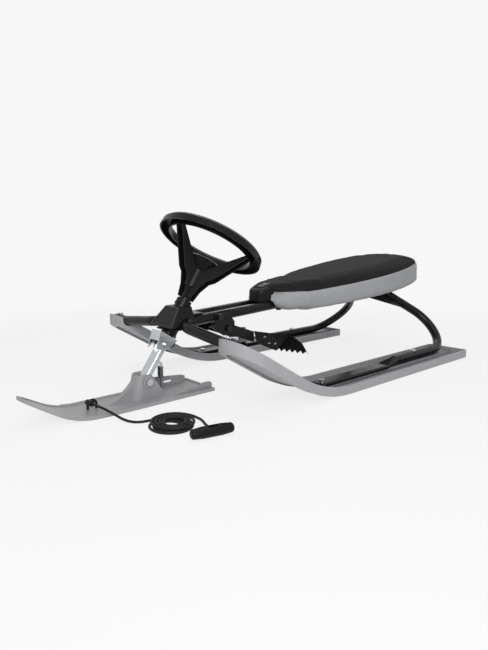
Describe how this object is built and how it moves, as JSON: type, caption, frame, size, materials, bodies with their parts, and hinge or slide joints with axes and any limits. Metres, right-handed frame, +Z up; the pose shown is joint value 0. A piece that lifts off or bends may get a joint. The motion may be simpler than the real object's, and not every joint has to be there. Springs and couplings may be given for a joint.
{
  "type": "steering sled",
  "caption": "Steering sled with a wheel, a turning front ski, two grey runners, a padded seat, a claw brake and a tow rope.",
  "frame": {"origin": "on the ground under the middle of the sled's box, the tow rope left out", "axes": "+X forward along the sled towards the ski's tip, +Y to the driver's left, +Z up"},
  "size_m": [1.1366, 0.5014, 0.3657],
  "materials": {
    "grey_plastic": "satin moulded",
    "black_plastic": "satin moulded",
    "black_paint": "satin powder coat",
    "zinc_steel": "zinc plated",
    "spring_steel": "oiled",
    "black_rubber": "matte",
    "seat_cover": "woven cover with a grey side band",
    "black_cord": "braided cord"
  },
  "bodies": {
    "frame": {"left_runner": "grey_plastic", "right_runner": "grey_plastic", "left_runner_screws": "zinc_steel", "right_runner_screws": "zinc_steel", "left_frame_tube": "black_paint", "right_frame_tube": "black_paint", "left_leg_gusset": "black_paint", "right_leg_gusset": "black_paint", "left_brake_plate": "black_paint", "right_brake_plate": "black_paint", "steering_head_tube": "black_paint", "upper_head_bush": "black_plastic", "lower_head_bush": "black_plastic", "upper_head_plate": "black_paint", "lower_head_plate": "black_paint", "head_cover": "black_plastic", "seat_base": "black_plastic", "seat_cushion": "seat_cover", "seat_bolts": "zinc_steel", "brake_pivot_bolt": "zinc_steel", "brake_pivot_nut": "zinc_steel", "bracket_bolt": "zinc_steel", "bracket_nut": "zinc_steel"},
    "steering": {"steering_wheel": "black_plastic", "steering_column": "black_paint", "wheel_screw": "zinc_steel", "column_collar": "black_plastic", "steering_yoke": "zinc_steel", "strut_buffer": "black_rubber", "front_strut": "zinc_steel", "strut_bolt": "zinc_steel", "strut_nut": "zinc_steel", "strut_bush": "black_plastic"},
    "ski": {"front_ski": "grey_plastic", "ski_pivot_bolt": "zinc_steel", "ski_pivot_nut": "zinc_steel", "ski_spring": "spring_steel", "tow_loop": "black_cord", "tow_knot": "black_cord", "tow_rope": "black_cord", "tow_rope_coil": "black_cord", "tow_rope_tail": "black_cord", "tow_handle": "black_plastic"},
    "brake": {"brake_sleeve": "black_paint", "left_brake_arm": "black_paint", "right_brake_arm": "black_paint", "left_brake_claw": "black_paint", "right_brake_claw": "black_paint", "brake_spring": "spring_steel"}
  },
  "joints": [
    {"name": "steering", "type": "hinge", "parent": "frame", "child": "steering", "pos_m": [0.131, 0, 0.3075], "axis": [-0.5417, 0, 0.8406], "range_deg": [-35, 35]},
    {"name": "ski_pitch", "type": "hinge", "parent": "steering", "child": "ski", "pos_m": [0.314, 0, 0.0395], "axis": [0, -1, 0], "range_deg": [-12, 20], "stiffness_Nm_per_rad": 2, "deforming": ["ski_spring"]},
    {"name": "brake", "type": "hinge", "parent": "frame", "child": "brake", "pos_m": [0.121, 0, 0.124], "axis": [0, -1, 0], "range_deg": [0, 25], "stiffness_Nm_per_rad": 2, "springref_deg": -20.05}
  ]
}
